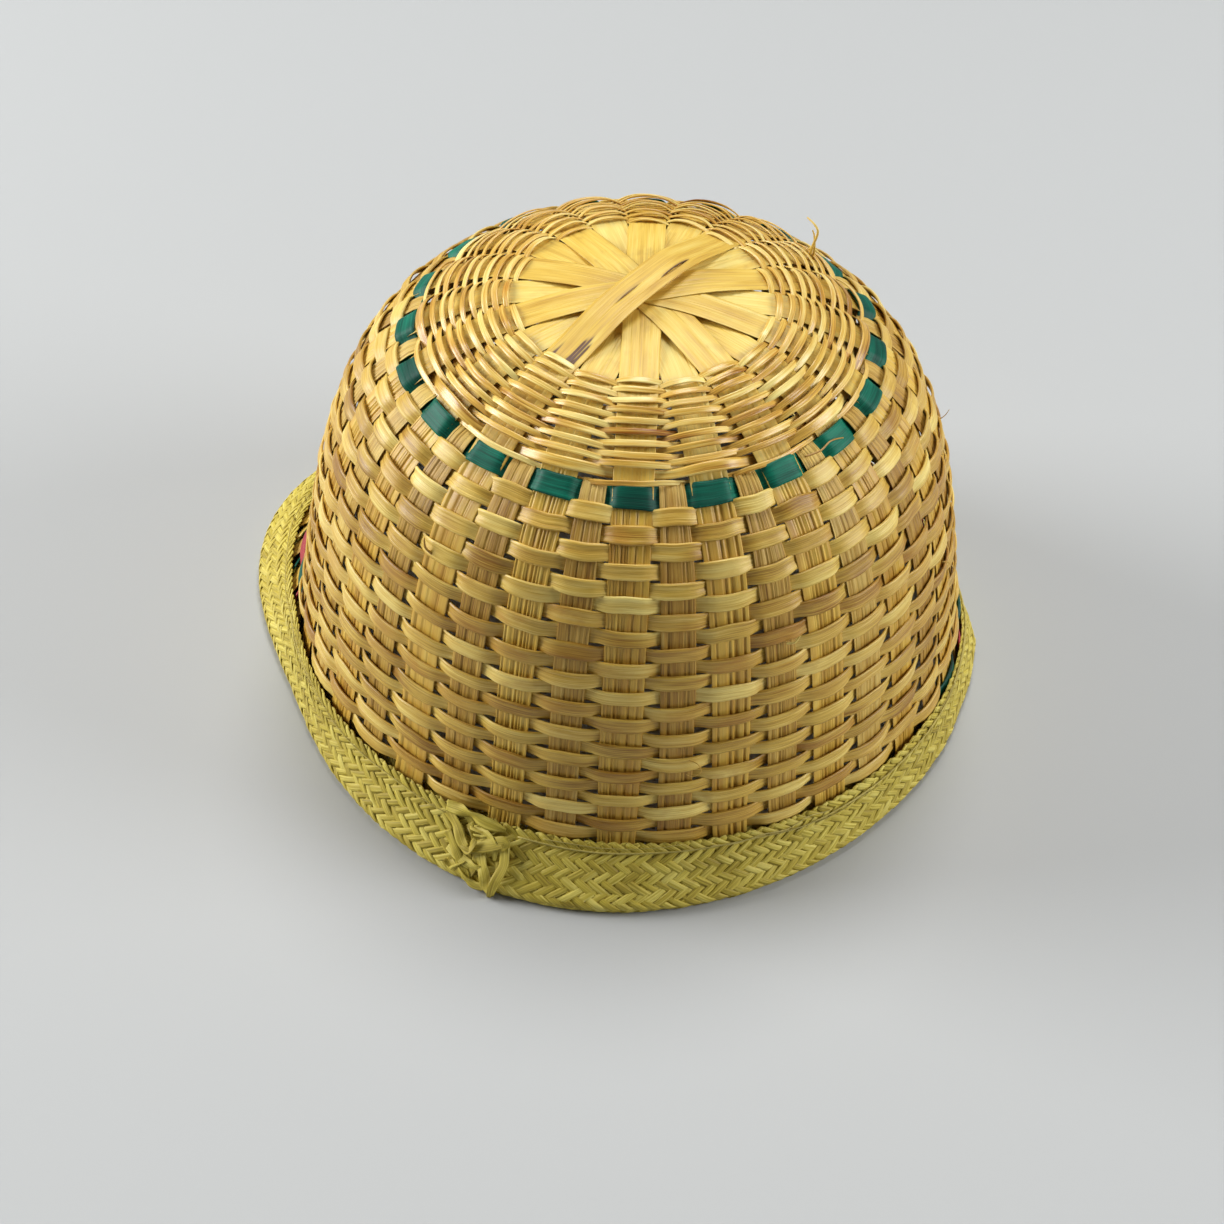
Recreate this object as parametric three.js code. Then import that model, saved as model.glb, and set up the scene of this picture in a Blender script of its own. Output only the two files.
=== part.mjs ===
// Woven split-bamboo hat: a flat-topped dome crown, a brim that widens into a visor and a plaited
// straw braid folded over the rim. Millimetres, +Z up, the visor points along +Y.
// The weave is laid out on one reference surface. Stakes run down its inner side and weft bands lie
// on its outer side, each held clear of its neighbour.
import * as THREE from 'three';

// Driving dimensions
const discRadius = 40; // flat centre where the crossing strips show
const greenRadius = 74.4; // shoulder, where the dyed row runs
const baseRadius = 116.8; // foot of the crown wall
const baseDepth = 125; // from the flat centre down to the foot of the wall
const rimDepth = 152; // from the flat centre down to the rim plane, on the crown axis
const rimTilt = Math.atan(0.07); // the crown leans back by this angle over its level rim
const backRadius = 132.5; // crown axis to rim, at the nape
const waistRadius = 120.5; // crown axis to rim, where the brim is narrowest
const lobeGrowth = 16; // how far the brim swells at the temples
const lobeSkew = 13.5; // the left temple swells more and the right one less by this
const visorGrowth = 12.5; // how far the visor reaches past the temples
const cornerHeight = 3.5; // a blunt corner in the rim beside the right temple
const cornerAngle = THREE.MathUtils.degToRad(10);
const cornerSpread = THREE.MathUtils.degToRad(16);

// Strips, stakes and weft
const crossingStrips = 10;
const stakeCount = 4 * crossingStrips;
const firstStake = THREE.MathUtils.degToRad(9); // an inserted stake lies on the visor's middle
const stripWidth = 10.4;
const stripThickness = 0.35;
const stripPitch = 0.65; // rise from one crossing strip to the next at the centre
const stakeThickness = 0.5;
const stakeOffset = -0.4; // stake middle, from the reference surface
const weftInner = 1.1;
const weftOuter = 2.3;
const rowPitch = 5.2; // one wall row of weft
const rowGap = 0.4;
const jointGap = 0.5; // between lengths that meet end to end

// Rim binding
const braidWidth = 21;
const braidThickness = 1.2;
const braidInside = -1.9; // faces of the slot inside the folded braid
const braidOutside = 2.9;
const threadRadius = 0.5;
const threadBelowEdge = 3.5;
const bindingGap = 0.8; // from the braid out to what lies on it
const braidFold = 7; // along the brim, from the rim up to where the fold turns
const endAngle = THREE.MathUtils.degToRad(258); // where the braid's two ends overlap
const endSpread = THREE.MathUtils.degToRad(6);

const ringSteps = 60;
const fullTurn = 2 * Math.PI;

const bamboo = { color: 0xd9b565, roughness: 0.5, metalness: 0 };
const oiledBamboo = { color: 0xcf9a45, roughness: 0.35, metalness: 0 };
const greenBamboo = { color: 0x0b6e58, roughness: 0.5, metalness: 0 };
const redBamboo = { color: 0xa83238, roughness: 0.5, metalness: 0 };
const straw = { color: 0xb3a54a, roughness: 0.8, metalness: 0 };
const cotton = { color: 0x9a8c3c, roughness: 0.9, metalness: 0 };

// Crown line as radius and height, from the centre of the top down to the foot of the wall
const crownLine = [
  [0, 0], [discRadius, 0], [57.6, -5.4], [greenRadius, -15.4], [89.1, -28.9], [98.4, -46.6],
  [104.8, -66.4], [110.3, -92.3], [113.8, -112.2], [baseRadius, -baseDepth],
].map(([radius, height]) => new THREE.Vector2(radius, height));

// The rim outline: nearly round at the back, swelling at the temples and furthest at the visor
function rimPoint(angle) {
  const front = Math.sin(angle);
  const side = Math.cos(angle);
  const swell = THREE.MathUtils.smoothstep(front, -0.62, 0.35);
  const turn = THREE.MathUtils.euclideanModulo(angle - cornerAngle + Math.PI, fullTurn) - Math.PI;
  const radius = waistRadius + (backRadius - waistRadius) * front ** 4
    + swell * (lobeGrowth - lobeSkew * side) + visorGrowth * Math.max(0, front) ** 4
    + cornerHeight * Math.max(0, 1 - Math.abs(turn) / cornerSpread);
  return new THREE.Vector2(radius, -rimDepth - Math.tan(rimTilt) * radius * front);
}

// The reference surface's line at one angle round the crown axis: the crown line, then the brim,
// which sags a little before it reaches the rim
const brimSag = 0.05;
const closedRoom = 2; // the braid reaches up to the wall where the brim is only this much wider
const openRoom = 8; // and keeps to its own width from here on
const lines = new Map();
function lineAt(angle) {
  if (!lines.has(angle)) {
    const base = crownLine.at(-1);
    const rim = rimPoint(angle);
    const across = rim.clone().sub(base);
    const middle = base.clone().lerp(rim, 0.5);
    middle.add(new THREE.Vector2(across.y, -across.x).multiplyScalar(brimSag));
    const curve = new THREE.SplineCurve([...crownLine, middle, rim]);
    const perSpan = 30;
    const lengths = curve.getLengths(perSpan * (crownLine.length + 1));
    curve.arcLengthDivisions = perSpan * (crownLine.length + 1);
    const foot = lengths[perSpan * (crownLine.length - 1)];
    const length = lengths.at(-1);
    const room = length - braidWidth - foot;
    const braidEdge = foot + room * THREE.MathUtils.smoothstep(room, closedRoom, openRoom);
    lines.set(angle, { curve, foot, length, braidEdge });
  }
  return lines.get(angle);
}

// A point at a distance along that line, lifted off the surface by an offset
function place(angle, along, offset) {
  const { curve, length } = lineAt(angle);
  const share = THREE.MathUtils.clamp(along / length, 0, 1);
  const spot = curve.getPointAt(share);
  const tangent = curve.getTangentAt(share);
  const radius = spot.x - tangent.y * offset;
  const height = spot.y + tangent.x * offset;
  return new THREE.Vector3(radius * Math.cos(angle), radius * Math.sin(angle), height);
}

// Distance along the line at which it reaches a radius, on the crown where that grows steadily
function alongAt(radius) {
  const { curve, length } = lineAt(0);
  let low = 0;
  let high = length;
  for (let step = 0; step < 40; step += 1) {
    const middle = (low + high) / 2;
    if (curve.getPointAt(middle / length).x < radius) low = middle;
    else high = middle;
  }
  return low;
}

// A closed body through a row of like sections. Each section is a loop of points whose second half
// runs back beside its first. A ring joins its last section to its first, and a strip has two ends.
function loft(sections, isRing) {
  const around = sections[0].length;
  const positions = sections.flat().flatMap((point) => point.toArray());
  const faces = [];
  const spans = isRing ? sections.length : sections.length - 1;
  for (let i = 0; i < spans; i += 1) {
    const here = i * around;
    const next = ((i + 1) % sections.length) * around;
    for (let j = 0; j < around; j += 1) {
      const k = (j + 1) % around;
      faces.push(here + j, next + j, next + k, here + j, next + k, here + k);
    }
  }
  const addEnd = (first, flip) => {
    for (let j = 0; j < around / 2 - 1; j += 1) {
      const quad = [j, j + 1, around - 2 - j, around - 1 - j].map((k) => first + k);
      if (flip) quad.reverse();
      faces.push(quad[0], quad[1], quad[2], quad[0], quad[2], quad[3]);
    }
  };
  if (!isRing) {
    addEnd(0, false);
    addEnd((sections.length - 1) * around, true);
  }
  turnOutward(positions, faces);
  const geometry = new THREE.BufferGeometry();
  geometry.setAttribute('position', new THREE.Float32BufferAttribute(positions, 3));
  geometry.setIndex(faces);
  geometry.computeVertexNormals();
  return geometry;
}

// Reverses the faces of a body whose volume comes out negative
function turnOutward(positions, faces) {
  const corner = (index) => new THREE.Vector3().fromArray(positions, 3 * index);
  let volume = 0;
  for (let i = 0; i < faces.length; i += 3) {
    const [a, b, c] = [corner(faces[i]), corner(faces[i + 1]), corner(faces[i + 2])];
    volume += a.dot(b.cross(c));
  }
  if (volume < 0) faces.reverse();
}

const evenly = (from, to, steps) => (
  Array.from({ length: steps + 1 }, (_, i) => from + ((to - from) * i) / steps)
);

const ringAngles = evenly(0, fullTurn, ringSteps).slice(0, -1);

// A band of weft lying between two distances along the surface
function band(angles, isRing, fromAt, toAt, inner, outer, steps) {
  const sections = angles.map((angle) => {
    const stops = evenly(fromAt(angle), toAt(angle), steps);
    const outside = stops.map((along) => place(angle, along, outer));
    const inside = stops.map((along) => place(angle, along, inner)).reverse();
    return [...outside, ...inside];
  });
  return loft(sections, isRing);
}

// A flat splint bent along points that lie in one upright plane through the crown axis
function splint(points, thickness, steps) {
  const half = stripWidth / 2;
  const section = new THREE.Shape([
    new THREE.Vector2(-half, -thickness / 2),
    new THREE.Vector2(half, -thickness / 2),
    new THREE.Vector2(half, thickness / 2),
    new THREE.Vector2(-half, thickness / 2),
  ]);
  const extrudePath = new THREE.CatmullRomCurve3(points);
  return new THREE.ExtrudeGeometry(section, { steps, extrudePath });
}

const group = new THREE.Group();
const crown = new THREE.Group();
crown.rotation.x = rimTilt;
group.add(crown);

function add(name, geometry, finish) {
  const mesh = new THREE.Mesh(geometry, new THREE.MeshStandardMaterial(finish));
  mesh.name = name;
  crown.add(mesh);
}

const numbered = (name, number) => `${name}_${String(number).padStart(2, '0')}`;

const discEdge = alongAt(discRadius);
const crownWeftEnd = alongAt(greenRadius) - 0.5 * rowPitch - rowGap;
const greenEnd = alongAt(greenRadius) + 0.5 * rowPitch;

// How high a strip's layer lifts it at a radius: full in the middle, where all ten cross, little
// near the disc's edge, where only neighbours overlap, and nothing beyond
function layerLift(radius, layer) {
  const crossing = 18;
  const parting = 36;
  const least = 0.17;
  const outer = 39.5;
  const falling = THREE.MathUtils.clamp((radius - crossing) / (parting - crossing), 0, 1);
  const ending = THREE.MathUtils.clamp((outer - radius) / (outer - parting), 0, 1);
  return layer * THREE.MathUtils.lerp(stripPitch, least, falling) * ending;
}

// Crossing strips. Odd ones lie above even ones, and no strip is next to one in a near layer.
const layers = [5, 1, 9, 4, 8, 3, 7, 2, 6, 0];
for (let i = 0; i < crossingStrips; i += 1) {
  const reach = crownWeftEnd;
  const points = evenly(-reach, reach, 36).map((along) => {
    const spot = place(0, Math.abs(along), stakeOffset);
    const height = spot.z + layerLift(spot.x, layers[i]);
    return new THREE.Vector3(Math.sign(along) * spot.x, 0, height);
  });
  const geometry = splint(points, stripThickness, 24);
  geometry.rotateZ(firstStake + Math.PI / 2 - (i * Math.PI) / crossingStrips);
  add(numbered('crown_strip', i + 1), geometry, bamboo);
}

// Stakes down the wall and brim into the rim binding: one under each end of a crossing strip, and
// one inserted between each two
for (let i = 0; i < stakeCount; i += 1) {
  const angle = Math.PI / 2 + firstStake - (i * fullTurn) / stakeCount;
  const start = crownWeftEnd + jointGap;
  const end = lineAt(angle).length - 4;
  const points = evenly(start, end, 20).map((along) => {
    const spot = place(angle, along, stakeOffset);
    return new THREE.Vector3(Math.hypot(spot.x, spot.y), 0, spot.z);
  });
  const geometry = splint(points, stakeThickness, 14);
  geometry.rotateZ(angle);
  const name = i % 2 === 0 ? 'strip_stake' : 'inserted_stake';
  add(numbered(name, Math.floor(i / 2) + 1), geometry, bamboo);
}

// Weft of the crown: fine glossy rows, the dyed row, then the wall's broad rows
add('crown_weft', band(ringAngles, true, () => discEdge, () => crownWeftEnd,
  weftInner, weftOuter, 3), oiledBamboo);
add('green_row', band(ringAngles, true, () => crownWeftEnd + rowGap, () => greenEnd,
  weftInner, weftOuter, 1), greenBamboo);
add('wall_weft', band(ringAngles, true, () => greenEnd + rowGap, (angle) => lineAt(angle).foot,
  weftInner, weftOuter, 10), bamboo);

// Short rows of the brim. Each starts and ends under the binding, where the brim leaves it room.
const tuck = 3; // how far a row reaches under the binding
const leastShowing = 1; // a row ends where less than this of it shows
function brimRow(fromRow, toRow, steps) {
  const from = (angle) => lineAt(angle).foot + fromRow * rowPitch + rowGap;
  const limit = (angle) => lineAt(angle).braidEdge + tuck;
  const to = (angle) => Math.min(lineAt(angle).foot + toRow * rowPitch, limit(angle));
  const angles = evenly(-fullTurn / 4, (3 * fullTurn) / 4, 4 * ringSteps)
    .filter((angle) => limit(angle) - tuck - from(angle) > leastShowing);
  const kept = angles.filter((_, i) => i % 4 === 0 || i === angles.length - 1);
  return band(kept, false, from, to, weftInner, weftOuter, steps);
}
add('brim_green_row_1', brimRow(0, 1, 1), greenBamboo);
add('brim_red_row', brimRow(1, 2, 1), redBamboo);
add('brim_green_row_2', brimRow(2, 3, 1), greenBamboo);
add('visor_weft', brimRow(3, 9, 2), bamboo);

// Braid folded over the rim, with a flat foot on the rim plane and a slot for the brim's edge
const levelDirection = new THREE.Vector3(0, Math.tan(rimTilt), 1);
function toLevel(level, from, through) {
  const step = through.clone().sub(from);
  const share = (level - rimDepth - from.dot(levelDirection)) / step.dot(levelDirection);
  return from.clone().addScaledVector(step, share);
}
function braidFace(angle, offset, level) {
  const { length, braidEdge } = lineAt(angle);
  const upper = place(angle, braidEdge, offset);
  const lower = place(angle, length - braidFold, offset);
  return [upper, lower, toLevel(level, lower, place(angle, length, offset))];
}
const braidOuterFace = braidOutside + braidThickness;
const braidSections = ringAngles.map((angle) => [
  ...braidFace(angle, braidOuterFace, 0),
  ...braidFace(angle, braidInside - braidThickness, 0).reverse(),
  ...braidFace(angle, braidInside, braidThickness),
  ...braidFace(angle, braidOutside, braidThickness).reverse(),
]);
add('rim_braid', loft(braidSections, true), straw);

// The thread that sews the braid on, and the braid's overlapping end
const endStep = Math.round(endAngle / (fullTurn / ringSteps));
const threadAngles = evenly(endStep + 2, endStep - 2 + ringSteps, ringSteps - 4)
  .map((step) => (step * fullTurn) / ringSteps);
const threadOffset = braidOuterFace + bindingGap + threadRadius;
const threadSections = threadAngles.map((angle) => {
  const along = lineAt(angle).braidEdge + threadBelowEdge;
  return [[-1, 0], [0, 1], [1, 0], [0, -1]].map(([down, out]) => (
    place(angle, along + down * threadRadius, threadOffset + out * threadRadius)));
});
add('rim_thread', loft(threadSections, false), cotton);

const endAngles = evenly(endAngle - endSpread, endAngle + endSpread, 4);
const endInner = braidOuterFace + bindingGap;
add('braid_end', band(endAngles, false, (angle) => lineAt(angle).braidEdge - 1,
  (angle) => lineAt(angle).length - 2, endInner, endInner + braidThickness, 2), straw);

// The level rim stands on the origin's plane, with the origin under the middle of the hat
group.updateMatrixWorld(true);
const extent = new THREE.Box3().setFromObject(group, true);
const middle = extent.getCenter(new THREE.Vector3());
group.position.set(-middle.x, -middle.y, rimDepth * Math.cos(rimTilt));

export default group;
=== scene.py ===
"""A woven split-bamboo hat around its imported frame: interlaced stakes and weft, a plaited braid and
loose fibres, seen from behind and above on a pale floor."""

import math

import bpy
import numpy as np
from mathutils import Matrix, Vector


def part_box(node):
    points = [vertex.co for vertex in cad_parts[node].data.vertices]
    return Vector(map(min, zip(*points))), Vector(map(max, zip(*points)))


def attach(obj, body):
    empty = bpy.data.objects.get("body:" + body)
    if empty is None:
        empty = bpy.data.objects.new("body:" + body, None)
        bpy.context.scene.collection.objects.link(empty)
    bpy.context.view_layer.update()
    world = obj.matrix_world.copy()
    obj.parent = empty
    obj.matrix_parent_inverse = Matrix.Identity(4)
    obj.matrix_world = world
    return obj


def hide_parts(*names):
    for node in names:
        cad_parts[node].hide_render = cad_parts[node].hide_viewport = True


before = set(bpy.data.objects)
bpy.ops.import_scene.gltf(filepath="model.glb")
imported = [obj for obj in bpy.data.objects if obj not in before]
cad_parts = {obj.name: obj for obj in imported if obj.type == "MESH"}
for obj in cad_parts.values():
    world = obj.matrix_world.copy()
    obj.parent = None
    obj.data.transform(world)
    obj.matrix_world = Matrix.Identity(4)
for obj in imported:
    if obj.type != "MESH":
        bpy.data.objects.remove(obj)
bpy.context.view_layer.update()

MM = 0.001
TAU = 2 * math.pi
rng = np.random.default_rng(11)

# ---- Driving dimensions, in millimetres in the crown's own frame, as in the CAD model ----
DISC_RADIUS = 40.0
GREEN_RADIUS, GREEN_HEIGHT = 74.4, -15.4
BASE_RADIUS = 116.8
BASE_DEPTH = 125.0
RIM_DEPTH = 152.0
RIM_SLOPE = 0.07
BACK_RADIUS = 132.5
WAIST_RADIUS = 120.5
LOBE_GROWTH = 16.0
LOBE_SKEW = 13.5
VISOR_GROWTH = 12.5
CORNER_HEIGHT = 3.5
CORNER_ANGLE, CORNER_SPREAD = math.radians(10), math.radians(16)
BRIM_SAG = 0.05
CROSSING = 10
STAKES = 4 * CROSSING
STAKE_STEP = TAU / STAKES
FIRST_ARM = math.radians(99)
BRAID_WIDTH = 21.0
CLOSED_ROOM, OPEN_ROOM = 2.0, 8.0
ROW_GAP = 0.4
SPLINT_THICKNESS, WEFT_THICKNESS = 0.5, 0.6
GRAIN_LENGTH = 900

CROWN_LINE = np.array(
    [(0, 0), (DISC_RADIUS, 0), (57.6, -5.4), (GREEN_RADIUS, GREEN_HEIGHT), (89.1, -28.9), (98.4, -46.6)]
    + [(104.8, -66.4), (110.3, -92.3), (113.8, -112.2), (BASE_RADIUS, -BASE_DEPTH)]
)

# The crown stands tilted on its level rim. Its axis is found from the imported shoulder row.
TILT = math.atan(RIM_SLOPE)
row_low, row_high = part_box("green_row")
CROWN_ORIGIN = Vector(
    (
        (row_low.x + row_high.x) / 2,
        (row_low.y + row_high.y) / 2 + GREEN_HEIGHT * MM * math.sin(TILT),
        RIM_DEPTH * MM * math.cos(TILT),
    )
)
CROWN_TO_ROW = Matrix.Translation(CROWN_ORIGIN) @ Matrix.Rotation(TILT, 4, "X")
UP = np.array([0, math.sin(TILT), math.cos(TILT)])
TAPE_CLEARANCE, LEAST_CLEARANCE = 0.75, 0.05


def to_row(points):
    """Crown-frame millimetres to row-frame metres."""
    turn = np.array(CROWN_TO_ROW.to_3x3())
    return np.asarray(points) * MM @ turn.T + np.array(CROWN_ORIGIN)


def rest_on_floor(points, clearance):
    """Lifts what would reach below the level plane that the rim stands on, in the crown frame."""
    height = to_row(points)[..., 2] / MM
    return points + np.maximum(0, clearance - height)[..., None] * UP


# ---- The weave's reference surface ----
def smoothstep(low, high, x):
    t = np.clip((x - low) / (high - low), 0, 1)
    return t * t * (3 - 2 * t)


def rim_point(angle):
    """Radius and height of the rim at an angle round the crown axis."""
    front, side = np.sin(angle), np.cos(angle)
    swell = smoothstep(-0.62, 0.35, front)
    turn = np.mod(angle - CORNER_ANGLE + math.pi, TAU) - math.pi
    radius = WAIST_RADIUS + (BACK_RADIUS - WAIST_RADIUS) * front**4
    radius = radius + swell * (LOBE_GROWTH - LOBE_SKEW * side)
    radius = radius + VISOR_GROWTH * np.maximum(front, 0) ** 4
    radius = radius + CORNER_HEIGHT * np.maximum(0, 1 - np.abs(turn) / CORNER_SPREAD)
    return np.stack([radius, -RIM_DEPTH - RIM_SLOPE * radius * front], -1)


def catmull_rom(points, per_span):
    """Samples a uniform Catmull-Rom line through points, as three.js's SplineCurve does."""
    padded = np.concatenate([points[:1], points, points[-1:]])
    samples = []
    for i in range(len(points) - 1):
        p0, p1, p2, p3 = padded[i : i + 4]
        t = np.linspace(0, 1, per_span, endpoint=False)[:, None]
        v0, v1 = (p2 - p0) / 2, (p3 - p1) / 2
        cubic = (2 * p1 - 2 * p2 + v0 + v1) * t**3
        samples.append(cubic + (-3 * p1 + 3 * p2 - 2 * v0 - v1) * t**2 + v0 * t + p1)
    return np.concatenate([*samples, points[-1:]])


class Surface:
    """Lines down the crown and brim, tabled by angle and distance, for fast lookup."""

    ANGLES, STEP, REACH = 720, 0.5, 260.0
    PER_SPAN, SMOOTHING = 24, np.ones(9) / 9

    def __init__(self):
        self.angles = np.arange(self.ANGLES + 1) * TAU / self.ANGLES
        along = np.arange(0, self.REACH, self.STEP)
        self.table = np.zeros((len(self.angles), len(along), 4))
        self.foot_at = np.zeros(len(self.angles))
        self.length_at = np.zeros(len(self.angles))
        for i, angle in enumerate(self.angles):
            rim, base = rim_point(angle), CROWN_LINE[-1]
            across = rim - base
            middle = (base + rim) / 2 + np.array([across[1], -across[0]]) * BRIM_SAG
            line = catmull_rom(np.vstack([CROWN_LINE, middle, rim]), self.PER_SPAN)
            gone = np.concatenate([[0], np.cumsum(np.linalg.norm(np.diff(line, axis=0), axis=1))])
            self.foot_at[i] = gone[self.PER_SPAN * (len(CROWN_LINE) - 1)]
            self.length_at[i] = gone[-1]
            end = (line[-1] - line[-2]) / np.linalg.norm(line[-1] - line[-2])
            line = np.vstack([line, line[-1] + end * (self.REACH - gone[-1])])
            gone = np.append(gone, self.REACH)
            spots = np.stack([np.interp(along, gone, line[:, k]) for k in (0, 1)], -1)
            slope = np.gradient(spots, self.STEP, axis=0)
            slope = np.stack([np.convolve(slope[:, k], self.SMOOTHING, "same") for k in (0, 1)], -1)
            slope[:5], slope[-5:] = (1, 0), slope[-6]
            slope /= np.linalg.norm(slope, axis=1)[:, None]
            self.table[i] = np.concatenate([spots, slope], -1)

    def _by_angle(self, values, angle):
        return np.interp(np.mod(angle, TAU), self.angles, values)

    def foot(self, angle):
        return self._by_angle(self.foot_at, angle)

    def length(self, angle):
        return self._by_angle(self.length_at, angle)

    def binding(self, angle):
        """Distance at which the braid's upper edge runs."""
        foot = self.foot(angle)
        room = self.length(angle) - BRAID_WIDTH - foot
        return foot + room * smoothstep(CLOSED_ROOM, OPEN_ROOM, room)

    def frame_at(self, angle, along):
        """Point, downward direction and outward normal, all in the crown frame."""
        angle, along = np.broadcast_arrays(np.asarray(angle, float), np.asarray(along, float))
        a = np.mod(angle, TAU) / TAU * self.ANGLES
        b = np.clip(along / self.STEP, 0, self.table.shape[1] - 1.001)
        i, j = a.astype(int), b.astype(int)
        i = np.minimum(i, self.ANGLES - 1)
        fa, fb = (a - i)[..., None], (b - j)[..., None]
        t = self.table
        low = t[i, j] * (1 - fb) + t[i, j + 1] * fb
        high = t[i + 1, j] * (1 - fb) + t[i + 1, j + 1] * fb
        v = low * (1 - fa) + high * fa
        r, z, dr, dz = np.moveaxis(v, -1, 0)
        size = np.hypot(dr, dz)
        dr, dz = dr / size, dz / size
        c, s = np.cos(angle), np.sin(angle)
        point = np.stack([r * c, r * s, z], -1)
        down = np.stack([dr * c, dr * s, dz], -1)
        out = np.stack([-dz * c, -dz * s, dr], -1)
        return point, down, out

    def along_at(self, radius):
        return float(np.interp(radius, self.table[0, :, 0], np.arange(self.table.shape[1]) * self.STEP))


surface = Surface()
DISC_EDGE = surface.along_at(DISC_RADIUS)
GREEN_MIDDLE = surface.along_at(GREEN_RADIUS)
WALL_FOOT = float(surface.foot(math.radians(270)))


# ---- Mesh building ----
def build(name, material, replaced, parts, marks=None):
    """One object from parts, each (vertices, faces, uvs, tints), in crown-frame millimetres.
    uvs holds a (length, width) pair in millimetres for each face corner. marks, from 0 to 1 for each
    vertex, darken towards the scorch colour: real scorches, random tone, and painted shade along cracks."""
    verts, faces, uvs, tints, base = [], [], [], [], 0
    for v, f, uv, tint in parts:
        verts.append(v)
        faces += [tuple(k + base for k in face) for face in f]
        uvs.append(uv)
        tints.append(np.broadcast_to(tint, (len(v), 4)))
        base += len(v)
    mesh = bpy.data.meshes.new(name)
    mesh.from_pydata(to_row(rest_on_floor(np.concatenate(verts), LEAST_CLEARANCE)), [], faces)
    layer = mesh.uv_layers.new(name="grain")
    layer.data.foreach_set("uv", np.concatenate(uvs).ravel())
    colours = mesh.color_attributes.new("tint", "FLOAT_COLOR", "POINT")
    colours.data.foreach_set("color", np.concatenate(tints).ravel())
    if marks is not None:
        mesh.attributes.new("mark", "FLOAT", "POINT").data.foreach_set("value", marks)
    mesh.shade_smooth()
    mesh.materials.append(material)
    piece = bpy.data.objects.new(name, mesh)
    bpy.context.scene.collection.objects.link(piece)
    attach(piece, "root")
    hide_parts(*replaced)


def sweep(centre, side, out, across, lift, is_ring, tint):
    """A closed body along stations. across and lift (stations x section points) place each section
    point along side and out. The faces look outwards whichever hand side is on, and the grain starts
    at a random place."""
    n, m = across.shape
    hand = 1 if np.cross(centre[1] - centre[0], side[0]) @ out[0] > 0 else -1
    verts = centre[:, None] + across[..., None] * side[:, None] + lift[..., None] * out[:, None]
    gone = np.linalg.norm(np.diff(centre, axis=0, append=centre[:1]), axis=1)
    u = rng.uniform(0, GRAIN_LENGTH) + np.concatenate([[0], np.cumsum(gone)])
    ring = np.concatenate([across[0], across[0, :1]]), np.concatenate([lift[0], lift[0, :1]])
    v = np.concatenate([[0], np.cumsum(np.hypot(np.diff(ring[0]), np.diff(ring[1])))])
    spans = n if is_ring else n - 1
    i, j = np.meshgrid(np.arange(spans), np.arange(m), indexing="ij")
    i2, j2 = (i + 1) % n, (j + 1) % m
    quads = np.stack([i * m + j, i2 * m + j, i2 * m + j2, i * m + j2], -1).reshape(-1, 4)[:, ::hand]
    corners = ((i, j), (i + 1, j), (i + 1, j + 1), (i, j + 1))
    uv = np.stack([np.stack([u[a], v[b]], -1) for a, b in corners], 2)
    uv = uv.reshape(-1, 4, 2)[:, ::hand].reshape(-1, 2)
    faces = [tuple(q) for q in quads.tolist()]
    if not is_ring:
        faces += [tuple(range(m))[::hand], tuple(range(n * m - 1, (n - 1) * m - 1, -1))[::hand]]
        uv = np.concatenate([uv, np.stack([np.full(m, u[0]), v[:m][::hand]], -1)])
        uv = np.concatenate([uv, np.stack([np.full(m, u[n - 1]), v[:m][::-hand]], -1)])
    return verts.reshape(-1, 3), faces, uv, np.repeat(tint, m, 0) if np.ndim(tint) == 2 else tint


def flat_section(width, thickness, tops, grooves=(), bead=0.0):
    """Across and lift of a splint's section: a softly crowned top with grooves, then a flat back.
    width may be an array of stations; grooves are (place from -0.5 to 0.5, depth, half width), with
    depth a number or an array of stations. bead raises the edge on the negative side."""
    width = np.atleast_1d(width)[:, None]
    x = np.linspace(-0.5, 0.5, tops)
    top = np.repeat((thickness / 2 * (1 - np.abs(2 * x) ** 6 * 0.6))[None], len(width), 0)
    top = top + bead * np.exp(-(((x + 0.38) / 0.09) ** 2))
    for place, depth, half in grooves:
        top = top - np.atleast_1d(depth)[:, None] * np.exp(-(((x - place) / half) ** 2))
    backs = max(3, tops // 3)
    xb = np.linspace(0.47, -0.47, backs)
    back = np.full((len(width), backs), -thickness / 2)
    return width * np.concatenate([x, xb]), np.concatenate([top, back], 1)


def smooth_noise(angles, count, amount, periodic=True):
    """Gentle random wander along a row: count knots, joined smoothly."""
    knots = rng.normal(0, amount, count)
    at = np.linspace(0, 1, len(angles), endpoint=not periodic) * (count if periodic else count - 1)
    i = at.astype(int) % count
    f = at - at.astype(int)
    f = f * f * (3 - 2 * f)
    return knots[i] * (1 - f) + knots[(i + 1) % count] * f


def tint_of(shade=None, hue=None):
    """Random look of one splint: shade, hue, wear and a seed, each from 0 to 1."""
    a, b, c, d = rng.random(4)
    return np.array([a if shade is None else shade, b if hue is None else hue, c, d])


# ---- Materials ----
def node(tree, kind, **values):
    made = tree.nodes.new(kind)
    for key, value in values.items():
        if key.startswith("in_"):
            made.inputs[key[3:].replace("_", " ")].default_value = value
        else:
            setattr(made, key, value)
    return made


def ramp(tree, factor, stops):
    made = tree.nodes.new("ShaderNodeValToRGB")
    elements = made.color_ramp.elements
    while len(elements) < len(stops):
        elements.new(0.5)
    for element, (place, colour) in zip(elements, stops):
        element.position = place
        element.color = (*colour, 1)
    tree.links.new(factor, made.inputs["Fac"])
    return made.outputs["Color"]


def srgb(*colour):
    """Display colour from 0 to 255 to the linear value that shaders take."""
    c = np.array(colour) / 255
    return tuple(np.where(c <= 0.04045, c / 12.92, ((c + 0.055) / 1.055) ** 2.4).tolist())


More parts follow.
